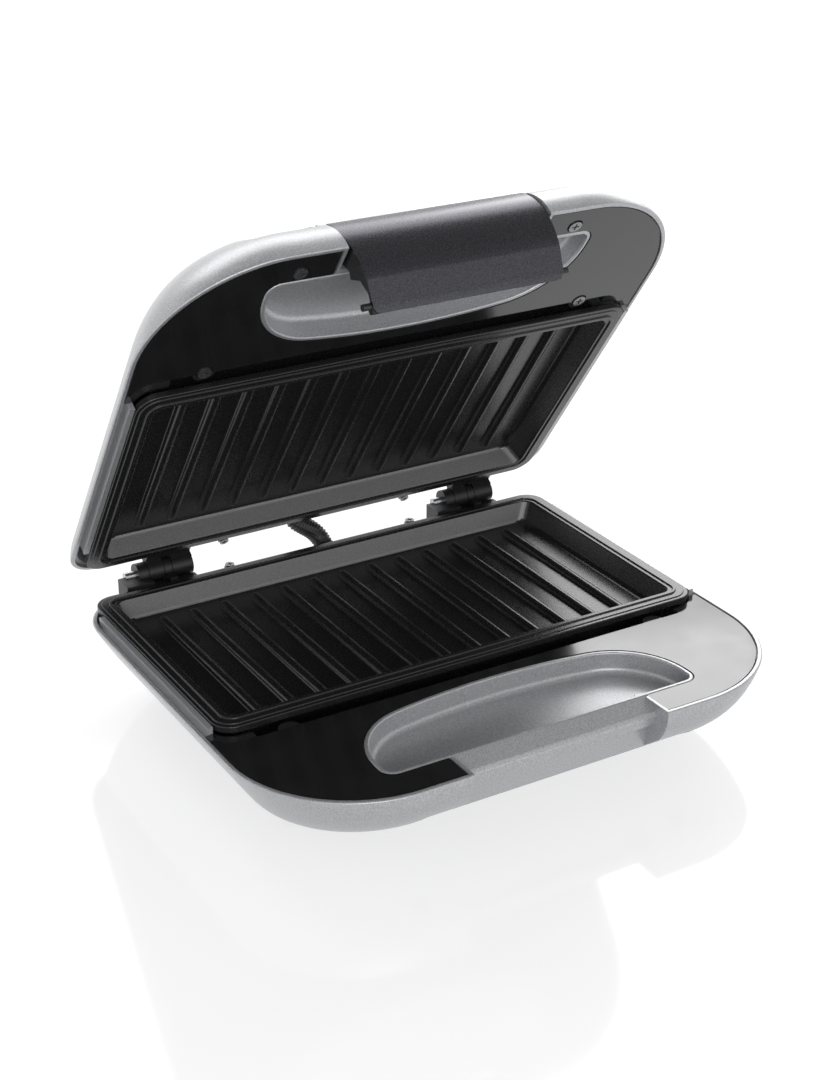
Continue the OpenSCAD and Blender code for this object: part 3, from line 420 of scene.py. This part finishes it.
def shellRing(t, form, inset, lift):
    z = shell["edge"] - t*shell["depth"] + lift
    ring = roundedRing(shell["halfWidth"] - sideInset(t, form) - inset,
                       shell["front"] + form["sweep"]*t**form["curve"] + inset,
                       shell["rear"] - shell["rearRound"]*t**3 - inset,
                       shell["cornerR"] - form["tighten"]*t*t - inset, form["rearR"] - inset, z,
                       steps=20, spans=(56, 10, 10, 10))
    return ring


def scooped(ring, form, t):  # the shallow grip step in the round front
    half = form["scoopHalf"]
    down = smoothStep(0.46, 0.52, t)*(1 - smoothStep(0.97, 1.0, t))
    moved = []
    for x, y, z in ring:
        step = shell["scoopStep"]*down*smoothStep(half + 1.5, half - 1.5, abs(x)) if y < shell["scoopBack"] else 0
        moved.append((x, y + 0.6*step, z + 0.8*step))
    return moved


def shellSkin(form):
    wall, lip, r = shell["wall"], shell["lip"], shell["edgeRound"]
    levels = [math.sin(math.pi/2*i/26) for i in range(26, 0, -1)]
    rings = [shellRing(1, form, inset, 0) for inset in (7, 3, 1)]
    rings[2] = [(x, y, z + 0.05) for x, y, z in rings[2]]
    rings += [scooped(shellRing(t, form, 0, 0), form, t) for t in levels if t*shell["depth"] > 1.2]
    for k in range(5):  # rounded outer edge of the rim
        a = math.pi/2*k/4
        rings.append(shellRing(0, form, r*(1 - math.cos(a)), -r*(1 - math.sin(a))))
    for k in range(4):  # rounded inner edge
        a = math.pi/2*k/3
        rings.append(shellRing(0, form, lip - 0.3*(1 - math.sin(a)), -0.3*(1 - math.cos(a))))
    rings.append(shellRing(0, form, lip, -1.6))
    rings += [shellRing(t, form, wall, 0.8*wall) for t in (0.12, 0.3, 0.5, 0.7, 0.85, 0.95, 1.0)]
    return skin(rings)


# the finger recess: a D with a rounded lip and a soft bowl
recess = {"halfWidth": 70.5, "front": -177, "back": -133, "tipR": 6, "shoulderR": 32, "backR": 255,
          "top": -4.4, "floor": -13.4, "under": -15.7, "gap": 0.3, "lip": 2, "bowlR": 3.4}


def recessRing(grow, z):
    shoulderX = recess["halfWidth"] - recess["shoulderR"]
    backY = recess["back"] - recess["backR"]
    shoulderY = backY + math.sqrt((recess["backR"] - recess["shoulderR"])**2 - shoulderX**2)
    a = math.degrees(math.atan2(shoulderY - backY, shoulderX))
    tipX, tipY = recess["halfWidth"] - recess["tipR"], recess["front"] + recess["tipR"]
    half = (arc(tipX, tipY, recess["tipR"] + grow, 270, 360, 10)
            + arc(shoulderX, shoulderY, recess["shoulderR"] + grow, 0, a, 18)
            + arc(0, backY, recess["backR"] + grow, a, 180 - a, 24)
            + arc(-shoulderX, shoulderY, recess["shoulderR"] + grow, 180 - a, 180, 18)
            + arc(-tipX, tipY, recess["tipR"] + grow, 180, 270, 10))
    return [(x, y, z) for x, y in half]


def recessCup():
    out, lip = -recess["gap"], -recess["gap"] - recess["lip"]
    outline = [(out, recess["under"]), (out, recess["top"]), (lip, recess["top"]), (lip, recess["floor"]),
               (lip - 6, recess["floor"])]
    path = filletPath(outline, (0.7, 0.7, recess["bowlR"]), 5)
    return skin([recessRing(p[0], p[1]) for p in path])


# the notch for the latch, the cheeks beside it, the catch bar across the base's front
# (proud: how far its faces stand in front of the cut, so that no two faces coincide)
notch = {"halfWidth": 43, "back": -179, "proud": 0.06, "cheek": 3.4, "thinCheek": 1.2, "cheekTop": -6.8,
         "thinEnd": -178.2, "thickEnd": -171, "lidRoof": -22.6, "lidWall": 2, "barFront": -184.8}


def cheekParts(form):
    curve = []
    for i in range(25):
        t = math.sin(math.pi/2*i/24)
        curve.append((shell["front"] + form["sweep"]*t**form["curve"] + 0.4, shell["edge"] - t*shell["depth"] + 0.2))
    thinEnd, thickEnd = notch["thinEnd"], notch["thickEnd"]
    tall = [p for p in curve if p[0] < thinEnd]
    low = [p for p in curve if p[1] < notch["cheekTop"] and p[0] < thickEnd]
    tall += [(thinEnd, tall[-1][1]), (thinEnd, shell["edge"])]
    low += [(thickEnd, low[-1][1]), (thickEnd, notch["cheekTop"])]
    inner = notch["halfWidth"] - notch["proud"]
    thin = prismAcross(tall, inner, inner + notch["thinCheek"])
    thick = prismAcross(low, inner + notch["proud"] / 2, inner + notch["cheek"])
    return [thin, thick, mirrored(thin), mirrored(thick)]


def catchBar():
    top, back, front = recess["top"], notch["back"] + 2, notch["barFront"]
    wall = notch["back"] - notch["proud"]
    outline = [(back, top - 4), (back, top), (-183.6, -7.6), (front, -9.2), (front + 0.6, -13.4),
               (front + 2.6, -13.4), (front + 2.4, -11), (wall, -9.4), (wall, -25.4), (back, -25.4)]
    path = filletPath(outline, (0, 1.6, 0.9, 0.4, 0.3, 0.6, 0.8, 0, 0), 4)
    return prismAcross([(p[0], p[1]) for p in path], -notch["halfWidth"] - 0.6, notch["halfWidth"] + 0.6)


def sideRail():
    profile = [(110.3, -1.5), (110.3, -8), (112.5, -8), (114, -6.3), (112.5, -6.3), (112.5, -1.5)]
    return skin([[(x, y, z) for x, z in profile] for y in (-15, -118)])


def halfDisc(x, z, r, fromY, toY):  # a round cutter along y
    return skin([[(x + a, y, z + b) for a, b in arc(0, 0, r, 0, 345, 23)] for y in (fromY, toY)])


def ventSlot(x, y):
    outline = arc(x + 13, y, 1.5, -90, 90, 6) + arc(x - 13, y, 1.5, 90, 270, 6)
    return prismUp(outline, -40, -34)


def wellAt(x, y):
    return prismUp(arc(x, y, 3.8, 0, 345, 23), -40, -17.7)


def sleeveSlot(x):
    half, low = 7.6, -13
    outline = arc(x, low, half, 180, 360, 12)
    profile = [(px, pz) for px, pz in outline] + [(x + half, 2), (x - half, 2)]
    return skin([[(px, y, pz) for px, pz in profile] for y in (-4, 6.5)])


def rearLedge(fromX, toX):
    return boxAt((fromX, 0.3, -6), (toX, 4.5, -4))


deckScrews = ((83.9, -128.8), (58.8, -181.1))


def baseShell():
    body = meshFrom("lower_shell_moulding", [shellSkin(baseForm)])
    vents = [ventSlot(s*22, -67.65 + 8*i) for s in (-1, 1) for i in range(-3, 4)]
    wells = [wellAt(s*x, y) for s in (-1, 1) for x, y in deckScrews]
    big = boxAt((-notch["halfWidth"], -195, -40), (notch["halfWidth"], notch["back"], 0))
    cutWith(body, [big, sleeveSlot(5), halfDisc(38, -22, 5, -4, 6.5)] + vents + wells)
    return body


def joined(name, first, parts, place):
    extra = meshFrom(name, parts)
    bm = bmesh.new()
    bm.from_mesh(first.data)
    bm.from_mesh(extra.data)
    bm.transform(place)
    bmesh.ops.recalc_face_normals(bm, faces=bm.faces)
    mesh = bpy.data.meshes.new(name)
    bm.to_mesh(mesh)
    bm.free()
    bpy.data.objects.remove(extra)
    bpy.data.objects.remove(first)
    piece = bpy.data.objects.new(name, mesh)
    bpy.context.scene.collection.objects.link(piece)
    return piece


baseMoulding = joined("base_shell_moulding", baseShell(), [recessCup(), catchBar(), sideRail(), mirrored(sideRail()),
                                                           rearLedge(-60.2, 58.2)] + cheekParts(baseForm), toBase)
roundEdges(baseMoulding, 0.35, 42)
dress(baseMoulding, "silver_paint", "base", ["lower_shell"])
print("stage: base shell made")


def lidShell():
    body = meshFrom("upper_shell_moulding", [shellSkin(lidForm)])
    pocket = boxAt((-notch["halfWidth"], -195, notch["lidRoof"]), (notch["halfWidth"], notch["back"], 0))
    lampHoles = [prismUp(arc(s*11, -116.5, 3.2, 0, 345, 23), -40, -30) for s in (-1, 1)]
    cutWith(body, [pocket, sleeveSlot(-8.7)] + lampHoles)
    return body


def pocketWall():
    back, roof, wall = notch["back"] - notch["proud"], notch["lidRoof"] + notch["proud"], notch["lidWall"]
    profile = [(back, recess["top"]), (back + wall, recess["top"]), (back + wall, roof - wall), (-180.6, roof - wall),
               (-181.6, roof), (back, roof)]
    return prismAcross(profile, -notch["halfWidth"] - 0.6, notch["halfWidth"] + 0.6)


lidMoulding = joined("lid_shell_moulding", lidShell(), [recessCup(), pocketWall(), sideRail(), mirrored(sideRail()),
                                                        rearLedge(-60.2, 71)] + cheekParts(lidForm), toLid)
roundEdges(lidMoulding, 0.35, 42)
dress(lidMoulding, "silver_paint", "lid", ["upper_shell"])
print("stage: lid shell made")

# the plates: rim, step, bead, pan and ribs
plate = {"halfWidth": 110, "depth": 123.3, "cornerR": 8.5, "pan": -10, "thick": 2.6, "sideLean": 3.5, "endLean": 1.6,
         "ribs": 13, "ribPitch": 14.15, "ribR": 2.3, "ribLength": 90.5, "rimUnder": -3.8}


def plateRing(grow, z):
    r = max(4.2, plate["cornerR"] + 0.62*grow)
    lean = (plate["sideLean"] - plate["endLean"])*min(1.0, max(0.0, (-z - 0.6)/9.4)) if grow < -7 else 0
    return roundedRing(plate["halfWidth"] + grow - lean, -plate["depth"] - grow, grow, r, r, z, steps=10,
                       spans=(4, 4, 4, 4))


def plateSkin():
    under, floor, thick = plate["rimUnder"], plate["pan"], plate["thick"]
    outline = [(-7.4, floor - thick), (-6.5, under), (0, under), (0, -1.0), (-1.7, -1.0), (-1.7, -0.6), (-4.5, -0.6),
               (-4.5, 0), (-5.7, 0), (-5.7, -0.6), (-7.5, -0.6), (-7.5 - plate["endLean"], floor), (-14, floor)]
    path = filletPath(outline, (0.3, 0.5, 0.35, 0.25, 0.2, 0.2, 0.28, 0.28, 0.2, 0.5, 2.2), 4)
    return skin([plateRing(p[0], p[1]) for p in path])


def ribParts():
    r, half = plate["ribR"], plate["ribLength"]/2
    profile = [(r + 1.1, -0.05), (r + 0.55, 0.06), (r + 0.2, 0.3)]
    profile += [(r*math.cos(a), 0.25 + (r - 0.25)*math.sin(a)) for a in (math.radians(14 + 76*i/8) for i in range(8))]
    profile.append((0.08, r))
    parts = []
    for i in range(plate["ribs"]):
        x = (i - (plate["ribs"] - 1)/2)*plate["ribPitch"]
        y = -plate["depth"]/2
        rings = []
        for radius, up in profile:
            ring = arc(x, y + half, radius, 0, 180, 10) + arc(x, y - half, radius, 180, 360, 10)
            rings.append([(px, py, plate["pan"] + up) for px, py in ring])
        parts.append(skin(rings))
    return parts


def plateLugs():
    outline = arc(45, 2.9, 2.4, 0, 180, 8) + [(42.6, -2), (47.4, -2)]
    lug = prismUp(outline, -3.8, -2.6)
    return [lug, mirrored(lug)]


# a lighter copy of the coating: painted sheen on each pan's rear wall
paintedSheenWall = paintedSheenCoating()
paintedSheenZone = {"from": (-9.3, -9.2), "to": (-7.4, -0.9), "halfWidth": 100}  # y and z of each pan's rear wall
for half, place in (("lower", toBase), ("upper", toLid)):
    panel = meshFrom(half + "_plate_casting", [plateSkin()] + ribParts() + plateLugs(), place)
    dress(panel, "non_stick_coating", "base" if half == "lower" else "lid", [half + "_plate"], smooth=50)
    panel.data.materials.append(paintedSheenWall)
    back = place.inverted()
    for face in panel.data.polygons:  # the pan's rear wall gets the lighter copy of the coating: painted sheen
        spot = back @ face.center
        behind = paintedSheenZone["from"][0] < spot.y < paintedSheenZone["to"][0] and paintedSheenZone["from"][1] < spot.z < paintedSheenZone["to"][1]
        if behind and abs(spot.x) < paintedSheenZone["halfWidth"]:
            face.material_index = 1
print("stage: plates made")

# the latch's cover: a rolled sheet, narrower and round-cornered at its lower edge
cover = {"halfWidth": 42, "r": 28.8, "thick": 1.2, "centreY": -163, "centreZ": -2, "topAngle": -42, "lowAngle": 47,
         "taper": 1.6, "taperFrom": -8, "taperTo": 19.1, "cornerR": 3.2}


def coverSheet():
    rows, columns = 48, 24
    sweep = cover["lowAngle"] - cover["topAngle"]
    length = math.radians(sweep)*cover["r"]
    verts, faces = [], []
    for i in range(rows + 1):
        fromLow = length*(1 - i/rows)
        if i > rows - 13:
            fromLow = cover["cornerR"]*(1 - math.sin(math.pi/2*(i - rows + 12)/12))
        a = math.radians(cover["lowAngle"]) - fromLow/cover["r"]
        y = cover["centreY"] - cover["r"]*math.cos(a)
        z = cover["centreZ"] + cover["r"]*math.sin(a)
        lean = min(1.0, max(0.0, (z - cover["taperFrom"])/(cover["taperTo"] - cover["taperFrom"])))
        half = cover["halfWidth"] - cover["taper"]*lean
        if fromLow < cover["cornerR"]:
            half -= cover["cornerR"] - math.sqrt(cover["cornerR"]**2 - (cover["cornerR"] - fromLow)**2)
        for k in range(columns + 1):
            verts.append((half*(2*k/columns - 1), y, z))
    for i in range(rows):
        for k in range(columns):
            a = i*(columns + 1) + k
            faces.append((a, a + 1, a + columns + 2, a + columns + 1))
    return verts, faces


latchCover = meshFrom("latch_cover_rolled", [coverSheet()], toLid)
outward = sum((p.normal.dot(p.center - toLid @ Vector((0, cover["centreY"], cover["centreZ"])))
               for p in latchCover.data.polygons))
wallStep = latchCover.modifiers.new("sheet", "SOLIDIFY")
wallStep.thickness = cover["thick"]*mm
wallStep.offset = -1 if outward > 0 else 1
settled(latchCover)
roundEdges(latchCover, 0.25, 60)
dress(latchCover, "dark_metal_cover", "latch", ["latch_cover"], smooth=40)
print("stage: latch made")

copyOfNode("latch_frame", 0.2, "latch")
copyOfNode("lower_deck", 0.3, "base")
copyOfNode("upper_deck", 0.3, "lid")
for side in ("left", "right"):
    copyOfNode("hinge_bracket_" + side, 0.35, "base")
    copyOfNode("hinge_knuckle_" + side, 0.35, "lid")
copyOfNode("rubber_feet", 0.4, "base")
copyOfNode("cord_inlet", 0.3, "base")
print("stage: trim made")

# the sleeve round the wires: a tube with close rings of braid along its route, half on each body
sleeve = {"r": 3.8, "strand": 0.5, "pitch": 1.3, "steps": 8,
          "low": ((5, -5, -20), (5, 0.5, -14.5), (4.2, 4.6, -9), (2.4, 7.8, -3.5), (-0.6, 10, 1)),
          "high": ((-8, 6.4, 6), (-9.3, 3.6, 10.5), (-9.5, 0, 15), (-9.5, -5, 20.5))}


def sleeveRoute():
    swing = (Matrix.Translation(hingePoint) @ Matrix.Rotation(math.radians(-layout["lidOpen"]), 4, "X")
             @ Matrix.Scale(mm, 4) @ Matrix.Translation((0, -layout["hingeY"], -layout["hingeZ"])))
    knots = [toBase @ Vector(p) for p in sleeve["low"]] + [swing @ Vector(p) for p in sleeve["high"]]
    ends = [knots[0]*2 - knots[1]] + knots + [knots[-1]*2 - knots[-2]]
    route = []
    for a, b, c, d in zip(ends, ends[1:], ends[2:], ends[3:]):
        for i in range(sleeve["steps"]):
            t = i/sleeve["steps"]
            route.append(0.5*(2*b + (c - a)*t + (2*a - 5*b + 4*c - d)*t*t + (3*b - a - 3*c + d)*t**3))
    return route + [knots[-1]], knots


def ringTree(finish):
    tree = bpy.data.node_groups.new("braid_rings", "GeometryNodeTree")
    tree.interface.new_socket("Geometry", in_out="INPUT", socket_type="NodeSocketGeometry")
    for title in ("Tube radius", "Strand radius", "Ring pitch"):
        tree.interface.new_socket(title, in_out="INPUT", socket_type="NodeSocketFloat")
    tree.interface.new_socket("Geometry", in_out="OUTPUT", socket_type="NodeSocketGeometry")
    given = addNode(tree, "NodeGroupInput")
    route = addNode(tree, "GeometryNodeMeshToCurve", {"Mesh": given.outputs["Geometry"]}).outputs[0]
    loop = addNode(tree, "GeometryNodeCurvePrimitiveCircle",
                   {"Radius": given.outputs["Tube radius"], "Resolution": 24})
    wire = addNode(tree, "GeometryNodeCurvePrimitiveCircle",
                   {"Radius": given.outputs["Strand radius"], "Resolution": 6})
    tube = addNode(tree, "GeometryNodeCurveToMesh",
                   {"Curve": route, "Profile Curve": loop.outputs[0], "Fill Caps": True})
    ring = addNode(tree, "GeometryNodeCurveToMesh", {"Curve": loop.outputs[0], "Profile Curve": wire.outputs[0]})
    spots = addNode(tree, "GeometryNodeCurveToPoints", {"Curve": route, "Length": given.outputs["Ring pitch"]},
                    mode="LENGTH")
    rings = addNode(tree, "GeometryNodeInstanceOnPoints", {"Points": spots.outputs["Points"],
                                                           "Instance": ring.outputs[0],
                                                           "Rotation": spots.outputs["Rotation"]})
    both = addNode(tree, "GeometryNodeJoinGeometry")
    tree.links.new(tube.outputs[0], both.inputs[0])
    tree.links.new(rings.outputs[0], both.inputs[0])
    real = addNode(tree, "GeometryNodeRealizeInstances", {"Geometry": both.outputs[0]})
    done = addNode(tree, "GeometryNodeSetMaterial", {"Geometry": real.outputs[0], "Material": finish})
    addNode(tree, "NodeGroupOutput", {"Geometry": done.outputs[0]})
    return tree


def setInputs(modifier, values):  # by each socket's identifier
    for item in modifier.node_group.interface.items_tree:
        if item.in_out == "INPUT" and item.name in values:
            modifier[item.identifier] = values[item.name]


route, knots = sleeveRoute()
routeMesh = bpy.data.meshes.new("wire_sleeve_braid")
routeMesh.from_pydata(route, [(i, i + 1) for i in range(len(route) - 1)], [])
braid = bpy.data.objects.new("wire_sleeve_braid", routeMesh)
bpy.context.scene.collection.objects.link(braid)
grow = braid.modifiers.new("rings", "NODES")
grow.node_group = ringTree(finishes["braided_sleeve"])
setInputs(grow, {"Tube radius": sleeve["r"]*mm, "Strand radius": sleeve["strand"]*mm,
                 "Ring pitch": sleeve["pitch"]*mm})
settled(braid)
dress(braid, "braided_sleeve", None, ["wire_sleeve"], smooth=60)
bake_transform(braid)
print("stage: sleeve made")

# studio: a white floor, a soft sky that is brighter behind, and three softboxes
studio = {"floorTone": "#b4b4b4", "floorGlow": 0.62, "skyTop": 0.35, "skyBack": 1.05, "skyFront": 0.9}


def makeFloor():
    size = 9
    floor = meshFrom("floor", [([(-size, -size, 0), (size, -size, 0), (size, size*2, 0), (-size, size*2, 0)],
                                [(0, 1, 2, 3)])])
    material, tree, shader = newMaterial("studio_acrylic", {"Base Color": srgb(studio["floorTone"]),
                                                            "Roughness": 0.08, "IOR": 1.4})
    out = next(n for n in tree.nodes if n.type == "OUTPUT_MATERIAL")
    ray = addNode(tree, "ShaderNodeLightPath")
    most = addNode(tree, "ShaderNodeMath", {0: ray.outputs["Is Camera Ray"], 1: ray.outputs["Is Glossy Ray"]},
                   operation="MAXIMUM")
    all3 = addNode(tree, "ShaderNodeMath", {0: most.outputs[0], 1: ray.outputs["Is Transmission Ray"]},
                   operation="MAXIMUM")
    part = addNode(tree, "ShaderNodeMath", {0: all3.outputs[0], 1: studio["floorGlow"]}, operation="MULTIPLY")
    glow = addNode(tree, "ShaderNodeEmission", {"Color": (1, 1, 1, 1), "Strength": part.outputs[0]})
    both = addNode(tree, "ShaderNodeAddShader", {0: shader.outputs[0], 1: glow.outputs[0]})
    tree.links.new(both.outputs[0], out.inputs["Surface"])
    floor.data.materials.append(material)


def makeSky():
    world = bpy.data.worlds.new("studio")
    bpy.context.scene.world = world
    world.use_nodes = True
    tree = world.node_tree
    tree.nodes.clear()
    where = addNode(tree, "ShaderNodeTexCoord")
    parts = addNode(tree, "ShaderNodeSeparateXYZ", {0: where.outputs["Generated"]})
    depth = addNode(tree, "ShaderNodeMapRange", {"Value": parts.outputs["Y"], "From Min": -0.6, "From Max": 0.6,
                                                 "To Min": studio["skyFront"], "To Max": studio["skyBack"]},
                    interpolation_type="SMOOTHSTEP")
    rise = addNode(tree, "ShaderNodeMapRange", {"Value": parts.outputs["Z"], "From Min": 0.38, "From Max": 0.75},
                   interpolation_type="SMOOTHSTEP")
    level = addNode(tree, "ShaderNodeMix", {"Factor": rise.outputs[0], "A": depth.outputs[0], "B": studio["skyTop"]})
    back = addNode(tree, "ShaderNodeBackground", {"Color": (1, 1, 1, 1), "Strength": level.outputs["Result"]})
    out = addNode(tree, "ShaderNodeOutputWorld")
    tree.links.new(back.outputs[0], out.inputs["Surface"])


def softbox(name, place, target, size, power):
    data = bpy.data.lights.new(name, "AREA")
    data.shape, data.size, data.size_y, data.energy = "RECTANGLE", size[0], size[1], power
    lamp = bpy.data.objects.new(name, data)
    bpy.context.scene.collection.objects.link(lamp)
    aim = (Vector(target) - Vector(place)).to_track_quat("-Z", "Y")
    lamp.matrix_world = Matrix.Translation(place) @ aim.to_matrix().to_4x4()


makeFloor()
makeSky()
softbox("behind_top", (0.3, 1.1, 1.15), (0, 0, 0.1), (1.7, 0.8), 11)
softbox("back_right", (1.15, 1.0, 0.75), (0.05, -0.05, 0.04), (0.7, 0.9), 5)
softbox("front_fill", (-0.5, -1.9, 0.55), (0, 0, 0.08), (1.4, 0.7), 14)

scene = bpy.context.scene
scene.view_settings.view_transform = "Standard"
print("stage: studio made")
